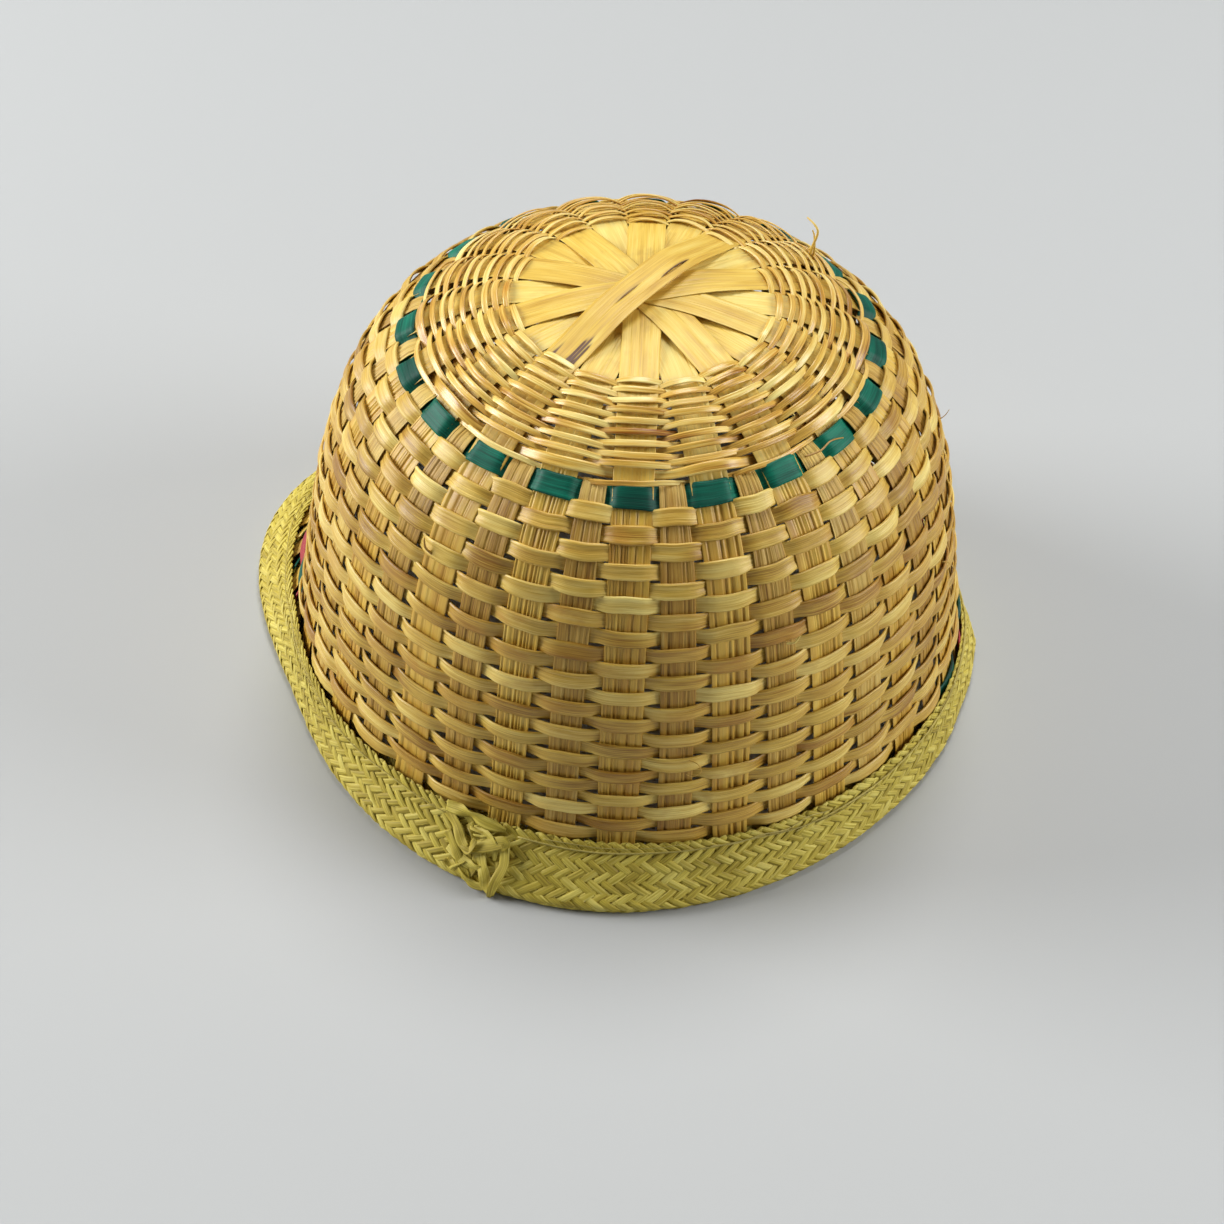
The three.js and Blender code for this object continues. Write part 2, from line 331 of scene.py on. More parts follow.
def maths(tree, operation, a, b, clamp=False):
    made = tree.nodes.new("ShaderNodeMath")
    made.operation, made.use_clamp = operation, clamp
    for socket, value in zip(made.inputs, (a, b)):
        if isinstance(value, (int, float)):
            socket.default_value = value
        else:
            tree.links.new(value, socket)
    return made.outputs[0]


def mix(tree, kind, factor, a, b):
    made = tree.nodes.new("ShaderNodeMix")
    made.data_type, made.blend_type = "RGBA", kind
    for socket, value in ((made.inputs[0], factor), (made.inputs[6], a), (made.inputs[7], b)):
        if isinstance(value, (int, float)):
            socket.default_value = value
        elif isinstance(value, tuple):
            socket.default_value = (*value, 1)
        else:
            tree.links.new(value, socket)
    return made.outputs[2]


def splint_material(name, palette, stain, roughness, fibre=1.0, coat=0.0, bump=0.25, streaks=0.5,
                    gloss=0.5):
    """Split bamboo or straw: grain along the splint's length, its own shade and hue for each
    splint, stains, and the scorch colour where the mesh has marks: real scorches, and painted shade
    along cracks. palette runs from dark to light."""
    material = bpy.data.materials.new(name)
    material.use_nodes = True
    tree = material.node_tree
    shader = tree.nodes["Principled BSDF"]
    grain_uv = node(tree, "ShaderNodeUVMap", uv_map="grain")
    tint = node(tree, "ShaderNodeVertexColor", layer_name="tint")
    parts = node(tree, "ShaderNodeSeparateColor")
    tree.links.new(tint.outputs["Color"], parts.inputs[0])
    shade, hue, wear = parts.outputs[0], parts.outputs[1], parts.outputs[2]
    seed = tint.outputs["Alpha"]

    def stretched(u_scale, v_scale, detail, rough=0.6):
        xyz = node(tree, "ShaderNodeSeparateXYZ")
        tree.links.new(grain_uv.outputs[0], xyz.inputs[0])
        joined = node(tree, "ShaderNodeCombineXYZ")
        tree.links.new(maths(tree, "MULTIPLY", xyz.outputs[0], u_scale), joined.inputs[0])
        tree.links.new(maths(tree, "MULTIPLY", xyz.outputs[1], v_scale), joined.inputs[1])
        tree.links.new(maths(tree, "MULTIPLY", seed, 57.0), joined.inputs[2])
        noise = node(tree, "ShaderNodeTexNoise", in_Scale=1.0, in_Detail=detail, in_Roughness=rough)
        tree.links.new(joined.outputs[0], noise.inputs["Vector"])
        return noise.outputs["Fac"]

    fine = stretched(0.05 * fibre, 3.2 * fibre, 3.0)
    broad = stretched(0.035, 0.22, 2.0)
    patch = stretched(0.09, 0.12, 3.0)
    level = maths(tree, "ADD", maths(tree, "MULTIPLY", fine, 2 * streaks), 0.5 - streaks)
    level = maths(tree, "ADD", level, maths(tree, "MULTIPLY", broad, 0.8))
    level = maths(tree, "ADD", level, maths(tree, "MULTIPLY", shade, 0.5))
    level = maths(tree, "SUBTRACT", level, 0.65)
    colour = ramp(tree, level, [(0.15, palette[0]), (0.5, palette[1]), (0.85, palette[2])])
    warm = mix(tree, "MIX", maths(tree, "MULTIPLY", hue, 0.4), colour, stain)
    spots = maths(tree, "MULTIPLY", maths(tree, "SUBTRACT", patch, 0.56, True), 3.2, True)
    colour = mix(tree, "MIX", maths(tree, "MULTIPLY", spots, wear), warm, stain)
    # Marks darken towards the scorch colour: real scorches and random tone, and painted shade along the top
    # strip's cracks.
    mark = node(tree, "ShaderNodeAttribute", attribute_name="mark").outputs["Fac"]
    scorch_and_shade = maths(tree, "SUBTRACT", maths(tree, "ADD", mark, fine), 0.62, True)
    scorch_and_shade = maths(tree, "MULTIPLY", scorch_and_shade, maths(tree, "MULTIPLY", mark, 2.6), True)
    colour = mix(tree, "MIX", scorch_and_shade, colour, SCORCH_AND_SHADE)
    tree.links.new(colour, shader.inputs["Base Color"])
    rough = maths(tree, "ADD", maths(tree, "MULTIPLY", fine, 0.25), roughness - 0.12)
    tree.links.new(rough, shader.inputs["Roughness"])
    raised = node(tree, "ShaderNodeBump", in_Strength=bump, in_Distance=0.0004)
    tree.links.new(fine, raised.inputs["Height"])
    tree.links.new(raised.outputs[0], shader.inputs["Normal"])
    shader.inputs["Specular IOR Level"].default_value = gloss
    shader.inputs["Coat Weight"].default_value = coat
    shader.inputs["Coat Roughness"].default_value = 0.25
    return material


# Dark brown of real scorches, also used as painted shade along the top strip's cracks.
SCORCH_AND_SHADE = srgb(94, 60, 36)
STRIP = splint_material(
    "strip_bamboo",
    (srgb(184, 134, 42), srgb(232, 194, 80), srgb(250, 230, 134)),
    srgb(182, 138, 58),
    0.42,
    bump=0.2,
    streaks=0.35,
)
STAKE = splint_material(
    "stake_bamboo",
    (srgb(122, 82, 18), srgb(192, 153, 60), srgb(230, 200, 110)),
    srgb(168, 120, 42),
    0.5,
    bump=0.5,
    streaks=0.75,
)
WEFT = splint_material(
    "weft_bamboo",
    (srgb(142, 96, 18), srgb(212, 176, 74), srgb(248, 226, 134)),
    srgb(188, 134, 50),
    0.4,
    bump=0.35,
)
OILED = splint_material(
    "oiled_bamboo",
    (srgb(140, 82, 12), srgb(226, 182, 78), srgb(255, 238, 150)),
    srgb(202, 130, 36),
    0.32,
    coat=0.3,
    bump=0.3,
)
GREEN = splint_material(
    "green_bamboo", (srgb(0, 30, 24), srgb(0, 80, 63), srgb(8, 128, 100)), srgb(0, 60, 48), 0.5, gloss=0.25
)
RED = splint_material(
    "red_bamboo", (srgb(120, 24, 34), srgb(168, 44, 52), srgb(196, 76, 74)), srgb(140, 30, 40), 0.45
)
STRAW = splint_material(
    "plaited_straw",
    (srgb(146, 126, 26), srgb(196, 176, 60), srgb(228, 213, 108)),
    srgb(136, 108, 30),
    0.62,
    bump=0.5,
    streaks=0.7,
)
THREAD = splint_material(
    "sewing_thread",
    (srgb(150, 134, 60), srgb(192, 176, 92), srgb(226, 212, 136)),
    srgb(150, 126, 56),
    0.7,
)


# ---- Weft rows ----
def wave(phase, firmness):
    """From -1 under a stake to 1 over it, flat over each and steep between."""
    return np.tanh(firmness * np.cos(np.pi * phase)) / math.tanh(firmness)


def weft_row(along, width, thickness, bulge, parity, step, per_stake=14, tops=9, firmness=1.5,
             wander=0.3, span=None, tilt=0.0, uneven=0.16, bead=0.0, far_swell=0.0, pinch=0.1,
             base=None):
    """One splint woven round the hat. along gives its distance down the surface by angle; parity
    picks the stakes it goes over; span is (start, end) for a short row. far_swell lifts it on the
    visor's side, and pinch narrows it between stakes."""
    start, end = span or (0.0, TAU)
    count = int(round((end - start) / step)) * per_stake
    ring = span is None
    angles = start + (end - start) * np.arange(count + (not ring)) / count
    phase = (angles - FIRST_ARM) / step + parity
    knots = max(4, count // per_stake)
    middle = along(angles) + smooth_noise(angles, knots * 2, wander * 0.4, ring)
    middle = middle + smooth_noise(angles, max(4, knots // 2), wander * 0.6, ring)
    swing = wave(phase, firmness)
    height = bulge * swing * (1 + smooth_noise(angles, knots, uneven, ring))
    height = height + far_swell * np.maximum(0, np.sin(angles)) ** 3 * (0.7 + swing)
    point, down, out = surface.frame_at(angles, middle)
    centre = point + height[:, None] * out
    if ring:
        forward = np.roll(centre, -1, 0) - np.roll(centre, 1, 0)
    else:
        forward = np.gradient(centre, axis=0)
    forward /= np.linalg.norm(forward, axis=1)[:, None]
    normal = np.cross(down, forward)
    normal *= np.sign((normal * out).sum(1))[:, None]
    normal /= np.linalg.norm(normal, axis=1)[:, None]
    lean = tilt + smooth_noise(angles, knots, 0.09, ring)
    side = down * np.cos(lean)[:, None] + normal * np.sin(lean)[:, None]
    normal = normal * np.cos(lean)[:, None] - down * np.sin(lean)[:, None]
    widths = width * (1 + smooth_noise(angles, knots, 0.05, ring)) * (1 - pinch * (1 - np.abs(swing)))
    grooves = [
        (rng.uniform(-0.25, 0.36), rng.uniform(0.06, 0.24) * thickness, rng.uniform(0.04, 0.08))
        for _ in range(rng.integers(2, 6))
    ]
    across, lift = flat_section(widths, thickness, tops, grooves, bead)
    base = tint_of() if base is None else base
    tint = np.stack(
        [
            np.clip(base[0] * 0.5 + 0.25 + smooth_noise(angles, knots, 0.2, ring), 0, 1),
            np.clip(base[1] * 0.6 + smooth_noise(angles, knots, 0.14, ring), 0, 1),
            np.clip(base[2] + smooth_noise(angles, knots, 0.2, ring), 0, 1),
            np.full(len(angles), base[3]),
        ],
        -1,
    )
    return sweep(centre, side, normal, across, lift, ring, tint)


ARM_STEP = 2 * STAKE_STEP
WALL_ROWS = 23
GREEN_WIDTH = 6.2
FINE_ROWS = 17
FINE_WIDTH, BROAD_WIDTH, LAST_WIDTH = 1.75, 3.3, 1.5
FINE_OVERLAP, BROAD_OVERLAP = 1.2, 1.08
WALL_BULGE, BRIM_BULGE = 1.2, 1.15
BRIM_PITCH = 5.2
VISOR_ROWS = 6
LEAST_STATIONS = 40


def crown_rows():
    """Fine oiled rows round the centre, a broader strip and a last thin one."""
    sizes = [FINE_WIDTH] * FINE_ROWS + [BROAD_WIDTH, LAST_WIDTH]
    room = GREEN_MIDDLE - GREEN_WIDTH / 2 - DISC_EDGE
    stretch = room / sum(sizes)
    edge = DISC_EDGE
    for i, size in enumerate(sizes):
        middle = edge + size * stretch / 2
        edge += size * stretch
        loose = max(0, i - FINE_ROWS + 3) * 0.12
        bulge = 1.25 + 0.4 * min(i, 8) / 8 + 0.15 * (i % 2)
        look = tint_of(shade=1.0 if i < 2 else rng.uniform(0.3, 1.0), hue=rng.uniform(0, 0.7))
        part = weft_row(
            lambda angles, m=middle: np.full(len(angles), m),
            size * (BROAD_OVERLAP if size == BROAD_WIDTH else FINE_OVERLAP),
            SPLINT_THICKNESS,
            bulge,
            i % 2,
            ARM_STEP,
            per_stake=22,
            tops=7,
            firmness=1.05,
            wander=0.26 + loose,
            tilt=-0.12,
            uneven=0.24,
            far_swell=0.7 * i / FINE_ROWS,
            base=look,
        )
        build(f"crown_row_{i + 1:02d}", OILED, ["crown_weft"], [part])


def wall_pitch(row):
    """Rows sit a little closer towards the foot."""
    mean = (WALL_FOOT - GREEN_MIDDLE - GREEN_WIDTH / 2) / WALL_ROWS
    return mean * (1.05 - 0.1 * row / (WALL_ROWS - 1))


def wall_rows():
    """The dyed row at the shoulder, then the natural rows down to the crown's foot."""
    row = weft_row(
        lambda angles: np.full(len(angles), GREEN_MIDDLE),
        GREEN_WIDTH * 1.2, WEFT_THICKNESS, WALL_BULGE, 0, STAKE_STEP,
        firmness=3.2, wander=0.3, bead=0.1, tops=13, pinch=0.03,
    )
    build("green_weft_row", GREEN, ["green_row"], [row])
    edge = GREEN_MIDDLE + GREEN_WIDTH / 2
    for i in range(WALL_ROWS):
        middle = edge + wall_pitch(i) / 2
        edge += wall_pitch(i)
        row = weft_row(
            lambda angles, m=middle: m + (surface.foot(angles) - WALL_FOOT) * (m / WALL_FOOT) ** 8,
            wall_pitch(i) * 1.03, WEFT_THICKNESS, WALL_BULGE, (i + 1) % 2, STAKE_STEP,
            tops=14, wander=0.55, bead=0.28,
        )
        build(f"wall_row_{i + 1:02d}", WEFT, ["wall_weft"], [row])


def brim_rows():
    """Short rows of the brim, each between the angles where the braid leaves it room."""
    kinds = [("brim_green_row_1", "green_splint", GREEN), ("brim_red_row", "red_splint", RED)]
    kinds += [("brim_green_row_2", "green_splint", GREEN)]
    kinds += [("visor_weft", "bamboo_weft", WEFT)] * VISOR_ROWS
    angles = np.linspace(-TAU / 4, 3 * TAU / 4, 721)
    for i, (replaced, slot, material) in enumerate(kinds):
        room = surface.binding(angles) - surface.foot(angles) - i * BRIM_PITCH - ROW_GAP
        inside = angles[room > 1]
        if len(inside) < LEAST_STATIONS:
            break
        row = weft_row(
            lambda angles, k=i: surface.foot(angles) + (k + 0.5) * BRIM_PITCH,
            BRIM_PITCH, WEFT_THICKNESS, BRIM_BULGE, (WALL_ROWS + 1 + i) % 2, STAKE_STEP,
            span=(inside[0], inside[-1]), bead=0.15,
        )
        build(f"brim_row_{i + 1:02d}", material, [replaced], [row])


crown_rows()
wall_rows()
brim_rows()


# ---- Stakes and crossing strips ----
def stake_grooves(count, depth, widest=0.03):
    """Random grooves down a stake, for flat_section."""
    return [
        (rng.uniform(-0.44, 0.44), rng.uniform(0.4, 1.0) * depth, rng.uniform(0.012, widest))
        for _ in range(count)
    ]


HUB_RADIUS, SPREAD_RADIUS, LAYERS_END = 18, 36, 39.5


def layer_lift(radius, layer, pitch, least):
    """How high a crossing strip's layer lifts it, as in the CAD model."""
    falling = np.clip((radius - HUB_RADIUS) / (SPREAD_RADIUS - HUB_RADIUS), 0, 1)
    ending = np.clip((LAYERS_END - radius) / (LAYERS_END - SPREAD_RADIUS), 0, 1)
    return layer * (pitch + (least - pitch) * falling) * ending


LAYERS = [5, 1, 9, 4, 8, 3, 7, 2, 6, 0]
LAYER_PITCH, LEAST_PITCH = 0.42, 0.1
TOP_STRIP = LAYERS.index(9)
ARCH_MIDDLE, ARCH_REACH, ARCH_HEIGHT = 3, 36, 2.8
STRIP_WIDTH = 11.6
STAKE_END = 4
CENTRE_REACH = 44
SHARES = (-0.5, 0.5)
SPLIT_SHARES = (-0.5, -0.24, 0.02, 0.5)
# Each crack's middle, half length and widest opening, and each scorch's place across the strip,
# distance down it and strength.
SPLITS = ((12.0, 8.0, 1.3), (-8.0, 7.0, 0.9))
SCORCHES = ((-1.6, 27, 1.0), (-2.7, 25, 0.9), (-3.9, 28, 1.0), (3.6, 31, 0.7))
SCORCH_END, SCORCH_SPREAD = 40, 0.5


def opening(u, split):
    """Half the width of a crack along a strip."""
    middle, half, widest = split
    return widest / 2 * np.sqrt(np.clip(1 - ((u - middle) / half) ** 2, 0, 1))


def scorches(u, across):
    """Dark streaks near the lower left end of the top strip."""
    found = 0 * across
    for place, reach, strength in SCORCHES:
        streak = strength * np.exp(-(((across - place) / SCORCH_SPREAD) ** 2))
        ends = smoothstep(reach, reach + 6, -u) * (1 - smoothstep(SCORCH_END, SCORCH_END + 2, -u))
        found = found + streak * ends[:, None]
    return found


def crossing_strip(i):
    """A splint from rim to rim across the crown's centre. The top one arches and has two cracks."""
    angle = FIRST_ARM - i * math.pi / CROSSING
    ends = [surface.length(angle + turn) - STAKE_END for turn in (math.pi, 0)]
    u = np.concatenate(
        [
            np.arange(-ends[0], -CENTRE_REACH, 2.2),
            np.linspace(-CENTRE_REACH, CENTRE_REACH, 90),
            np.arange(CENTRE_REACH + 2, ends[1], 2.2),
        ]
    )
    point, down, out = surface.frame_at(angle + np.where(u < 0, math.pi, 0.0), np.abs(u))
    is_top = i == TOP_STRIP
    lift = layer_lift(np.abs(u), LAYERS[i], LAYER_PITCH, LEAST_PITCH)
    if is_top:
        lift = lift + ARCH_HEIGHT * np.clip(1 - ((u - ARCH_MIDDLE) / ARCH_REACH) ** 2, 0, 1) ** 1.5
    lift = np.convolve(np.pad(lift, 6, "edge"), np.ones(13) / 13, "valid")
    centre = point + lift[:, None] * np.array([0, 0, 1.0])
    side = np.broadcast_to([-math.sin(angle), math.cos(angle), 0.0], centre.shape)
    forward = np.gradient(centre, axis=0)
    forward /= np.linalg.norm(forward, axis=1)[:, None]
    normal = np.cross(forward, side)
    normal *= np.sign((normal * out).sum(1))[:, None]
    beyond = smoothstep(66, 92, np.abs(u))
    full = (STRIP_WIDTH + 0.8 * is_top) * (1 + smooth_noise(u, 12, 0.03, False) + rng.normal(0, 0.02))
    shares = SPLIT_SHARES if is_top else SHARES
    tint = np.tile(tint_of(shade=rng.uniform(0.4, 1), hue=rng.uniform(0, 0.45)), (len(u), 1))
    tint[:, 0] -= beyond * (tint[:, 0] - rng.uniform(0.1, 0.5))
    tint[:, 1] += beyond * 0.35
    parts, marks = [], []
    for k in range(len(shares) - 1):
        low, high = shares[k] * full, shares[k + 1] * full
        before = opening(u, SPLITS[k - 1]) if k > 0 else 0 * u
        after = opening(u, SPLITS[k]) if k < len(shares) - 2 else 0 * u
        low = low + before - 0.3 * (k > 0)
        high = high - after + 0.3 * (k < len(shares) - 2)
        share = shares[k + 1] - shares[k]
        tops = 15 if is_top else 49
        shallow, deep = stake_grooves(int(7 * share), 0.13), stake_grooves(int(15 * share), 0.42, 0.022)
        grooves = [(place, depth * (1 - 0.6 * beyond), half) for place, depth, half in shallow]
        grooves += [(place, depth * beyond, half) for place, depth, half in deep]
        across, section = flat_section(high - low, SPLINT_THICKNESS, tops, grooves)
        across = across + ((high + low) / 2)[:, None]
        parts.append(sweep(centre, side, normal, across, section, False, tint))
        stain = 0.35 * smoothstep(36, 41, np.abs(u)) * (1 - beyond) + 0.3 * beyond * rng.uniform(0, 0.8)
        stain = stain[:, None] + (scorches(u, across) if is_top else 0)
        nearness = (across - low[:, None]) / (high - low)[:, None]
        # Painted shade: the strip darkens along both edges of each crack, more where the crack opens wider.
        crack_shade = before[:, None] * np.exp(-nearness * 7) + after[:, None] * np.exp((nearness - 1) * 7)
        marks.append(np.clip(stain + 1.6 * crack_shade, 0, 1).ravel())
    names = [f"crown_strip_{i + 1:02d}", f"strip_stake_{i + 1:02d}", f"strip_stake_{i + 11:02d}"]
    name = f"crossing_strip_{i + 1:02d}"
    build(name, STRIP, names, parts, np.concatenate(marks))


def inserted_stake(i):
    """A stake between two arms, split into narrow ribs, its top end under the crown's last row."""
    angle = FIRST_ARM - STAKE_STEP * (2 * i + 1)
    start = GREEN_MIDDLE - 4.6
    along = np.arange(start, surface.length(angle) - STAKE_END, 2.0)
    point, down, out = surface.frame_at(angle, along)
    sunk = -0.9 * (1 - smoothstep(start, start + 4, along))
    centre = point + sunk[:, None] * out
    side = np.broadcast_to([-math.sin(angle), math.cos(angle), 0.0], point.shape)
    full = rng.uniform(9.4, 11.4)
    width = np.interp(along, [start, start + 30, 400], [rng.uniform(6.6, 8.0), full, full])
    width = width * (1 + smooth_noise(along, 10, 0.02, False))
    across, section = flat_section(width, SPLINT_THICKNESS, 33, stake_grooves(rng.integers(6, 11), 0.36))
    tint = np.tile(tint_of(), (len(along), 1))
    # Painted highlight: each stake's raised top end is paler, as if lit from above.
    painted_lit_end = 0.35 * (1 - smoothstep(start + 2, start + 16, along))
    tint[:, 0] = np.clip(0.3 + 0.5 * tint[:, 0] + smooth_noise(along, 8, 0.08, False) + painted_lit_end, 0, 1)
    part = sweep(centre, side, out, across, section, False, tint)
    marks = np.full(across.size, rng.uniform(0, 0.2))
    name = f"reeded_stake_{i + 1:02d}"
    build(name, STAKE, [f"inserted_stake_{i + 1:02d}"], [part], marks)


for i in range(CROSSING):
    crossing_strip(i)
for i in range(2 * CROSSING):
    inserted_stake(i)


# ---- Plaited braid folded over the rim ----
OUTER_LEG, INNER_LEG, FOLD_AT = 3.2, -2.2, 3.2
LEG_POINTS = 9


def braid_line(angle):
    """Middle of the folded braid at one angle: down the outside, round the rim, up the inside.
    Returns points and outward normals by distance across the braid."""
    length, top = surface.length(angle), surface.binding(angle)
    radius = (OUTER_LEG - INNER_LEG) / 2
    legs = np.linspace(0, 1, LEG_POINTS)
    turn = np.linspace(0, math.pi, 9)[1:-1]
    along = np.concatenate(
        [
            top + legs * (length - top - FOLD_AT),
            length - FOLD_AT + radius * np.sin(turn),
            length - FOLD_AT - legs * (length - top - FOLD_AT - 1),
        ]
    )
    middle = (OUTER_LEG + INNER_LEG) / 2
    outer = OUTER_LEG - 1.1 * (1 - smoothstep(0, 0.4, legs))
    offset = np.concatenate([outer, middle + radius * np.cos(turn), np.full(LEG_POINTS, INNER_LEG)])
    point, down, out = surface.frame_at(np.full(len(along), angle), along)
    facing = np.concatenate([np.zeros(LEG_POINTS), turn, np.full(LEG_POINTS, math.pi)])
    spot = point + offset[:, None] * out
    normal = out * np.cos(facing)[:, None] + down * np.sin(facing)[:, None]
    return spot, normal


class Braid:
    """The folded tape's middle surface, by distance round the rim and across the tape."""

    STATIONS, COLUMNS, FOLD_COLUMN = 360, 64, 20

    def __init__(self):
        angles = np.arange(self.STATIONS) * TAU / self.STATIONS
        lines = [braid_line(a) for a in angles]
        spots = np.array([line[0] for line in lines])
        gone = np.concatenate([[0], np.cumsum(np.linalg.norm(np.diff(spots[0], axis=0), axis=1))])
        self.width = gone[-1]
        self.across = np.linspace(0, self.width, self.COLUMNS)
        self.spots, self.normals = (
            np.array([[np.interp(self.across, gone, line[n][:, k]) for k in range(3)] for line in lines])
            .transpose(0, 2, 1)
            for n in (0, 1)
        )
        self.spots = rest_on_floor(self.spots, TAPE_CLEARANCE)
        rim = self.spots[:, self.FOLD_COLUMN]
        steps = np.linalg.norm(np.roll(rim, -1, 0) - rim, axis=1)
        self.round = np.concatenate([[0], np.cumsum(steps)])
        self.girth = self.round[-1]

    def around(self, angle):
        """Distance round the rim at an angle."""
        return np.interp(angle, np.arange(self.STATIONS + 1) * TAU / self.STATIONS, self.round)

    def at(self, around, across):
        """Point and normal at a distance round the rim and across the tape."""
        a = np.interp(np.mod(around, self.girth), self.round, np.arange(self.STATIONS + 1))
        b = np.clip(across / self.width * (self.COLUMNS - 1), 0, self.COLUMNS - 1.001)
        i, j = a.astype(int) % self.STATIONS, b.astype(int)
        i2 = (i + 1) % self.STATIONS
        fa, fb = (a - a.astype(int))[..., None], (b - j)[..., None]
        found = []
        for t in (self.spots, self.normals):
            low = t[i, j] * (1 - fb) + t[i, j + 1] * fb
            high = t[i2, j] * (1 - fb) + t[i2, j + 1] * fb
            found.append(low * (1 - fa) + high * fa)
        normal = found[1] / np.linalg.norm(found[1], axis=-1)[..., None]
        return found[0], normal


braid = Braid()
STRAND, STRAND_THICKNESS = 2.3, 0.42
STRAND_STEP = 4.3
COLUMN = 2.9
SLANT = 1.6
OVERHANG = 0.2
OUTER_FACE, INNER_FACE = 25, 26.5


def ribbon(x, y, height, width, thickness, tops=4, looseness=0.0):
    """A flat strand over the tape, along points given round the rim, across it and above it."""
    spot, normal = braid.at(x, np.clip(y, 0, braid.width))
    spill = np.maximum(y - braid.width, 0) + np.minimum(y, 0)
    inner = np.clip(y, 0.5, braid.width - 0.5)
    edge = braid.at(x, inner + 0.5)[0] - braid.at(x, inner - 0.5)[0]
    edge /= np.linalg.norm(edge, axis=1)[:, None]
    centre = spot + height[:, None] * normal + spill[:, None] * edge
    forward = np.gradient(centre, axis=0)
    forward /= np.linalg.norm(forward, axis=1)[:, None]
    side = np.cross(normal, forward)
    side /= np.linalg.norm(side, axis=1)[:, None]
    out = np.cross(forward, side)
    if looseness:
        roll = smooth_noise(y, 6, looseness, False)[:, None]
        side, out = side * np.cos(roll) + out * np.sin(roll), out * np.cos(roll) - side * np.sin(roll)
    across, lift = flat_section(width, thickness, tops)
    tint = tint_of(shade=rng.uniform(0.25, 0.8), hue=rng.uniform(0, 0.5))
    return sweep(centre, side, out, across, lift, False, tint)


def braid_strand(start, lean):
    """One straw strand crossing the tape on the slant, over its neighbours in every other column."""
    last = braid.width + OVERHANG
    y = np.concatenate([np.linspace(-OVERHANG, OUTER_FACE, 34), np.linspace(INNER_FACE, last, 14)])
    x = start + lean * y * SLANT + smooth_noise(y, 7, 0.18, False)
    weave = np.tanh(2.0 * np.sin(math.pi * y / COLUMN)) * lean
    height = 0.2 * weave + smooth_noise(y, 9, 0.08, False)
    edge = np.minimum(1, 0.6 + np.minimum(y + OVERHANG, last - y) / 2)
    width = STRAND * edge * (1 + smooth_noise(y, 6, 0.09, False))
    return ribbon(x, y, height, width, STRAND_THICKNESS)


def plaited_braid():
    """Two families of strands that cross, all round the rim."""
    count = int(round(braid.girth / STRAND_STEP))
    step = braid.girth / count
    for lean, name in ((1, "braid_strands_right"), (-1, "braid_strands_left")):
        parts = [braid_strand(i * step + rng.normal(0, 0.12), lean) for i in range(count)]
        build(name, STRAW, ["rim_braid"], parts)


def through(points, count):
    """A smooth line through a few given points."""
    return catmull_rom(np.array(points, float), count)


END_ANGLE = math.radians(258)
THREAD_START, THREAD_END = math.radians(264), math.radians(252)
RIBBON_THICKNESS = 0.3
# Points round the rim from the braid's end, across the tape and above it, then the ribbon's width.
END_RIBBONS = [
    ([(-13, 2, 0.8), (-8, 5, 1.6), (-4, 9, 2.4), (-1, 10, 3.0), (0.5, 6, 4.0)], 3.8),
    ([(-6, 8, 1.0), (-1, 9, 2.4), (5, 7, 2.8), (10, 4.5, 3.6), (10.5, 7, 2.8)], 4.6),
    ([(1, 7, 1.6), (4, 12, 2.6), (7, 18, 2.2), (8.5, 23.5, 1.6)], 3.8),
    ([(10, 5, 2.4), (11.5, 11, 2.6), (10, 17, 2.4), (8.5, 23, 2.0)], 3.4),
    ([(-14, 0.5, 0.9), (-6, -0.6, 1.8), (2, 0.2, 2.4), (9, 1.2, 1.2)], 4.0),
    ([(-9, 12, 0.7), (-3, 14, 1.5), (4, 15, 1.8), (10, 13, 1.4)], 3.4),
    ([(-8, 16, 0.6), (-2, 18, 1.4), (4, 19.5, 1.5), (9, 18, 1.2)], 3.2),
    ([(-2, 4, 1.0), (3, 3.5, 2.6), (7, 6, 3.0), (8, 11, 1.9)], 2.2),
    ([(-11, 8, 0.7), (-6, 12, 1.5), (-1, 17, 1.6), (3, 21, 1.2)], 3.0),
    ([(-4, 3, 0.8), (0, 7, 1.6), (2, 13, 1.5), (1, 19, 1.0)], 3.0),
]


def braid_end():
    """The braid's end, folded back over the tape and frayed."""
    centre = braid.around(END_ANGLE)
    parts = []
    for points, width in END_RIBBONS:
        line = through(points, 10)
        t = np.linspace(0, 1, len(line))
        taper = width * (0.35 + 0.65 * np.minimum(1, np.minimum(t + 0.3, (1 - t)) * 4))
        spots = (centre + line[:, 0], line[:, 1], line[:, 2])
        parts.append(ribbon(*spots, taper, RIBBON_THICKNESS, tops=7, looseness=0.45))
    for _ in range(7):
        x, y = rng.uniform(-12, 10), rng.uniform(2, 20)
        turn = rng.uniform(-1.2, 1.2)
        t = np.linspace(0, rng.uniform(4, 9), 12)
        parts.append(
            ribbon(
                centre + x + t * math.cos(turn),
                y + t * math.sin(turn),
                0.8 + 0.9 * np.sin(np.linspace(0, 2.6, 12)) + rng.uniform(0, 0.9),
                np.linspace(1.3, 0.35, 12),
                RIBBON_THICKNESS,
                looseness=0.5,
            )
        )
    build("frayed_braid_end", STRAW, ["braid_end"], parts)


FIBRE_SIDES = 6
FIBRE_TIP = 0.45


def fibre(centre, radius, hint):
    """A thin round fibre along points, tapering to its end. hint is any direction off its line."""
    forward = np.gradient(centre, axis=0)
    forward /= np.linalg.norm(forward, axis=1)[:, None]
    side = np.cross(np.broadcast_to(hint, centre.shape), forward)
    side /= np.linalg.norm(side, axis=1)[:, None]
    out = np.cross(forward, side)
    turn = np.arange(FIBRE_SIDES) * TAU / FIBRE_SIDES
    size = radius * np.linspace(1, FIBRE_TIP, len(centre))[:, None]
    across, lift = size * np.cos(turn), -size * np.sin(turn)
    return sweep(centre, side, out, across, lift, False, tint_of())


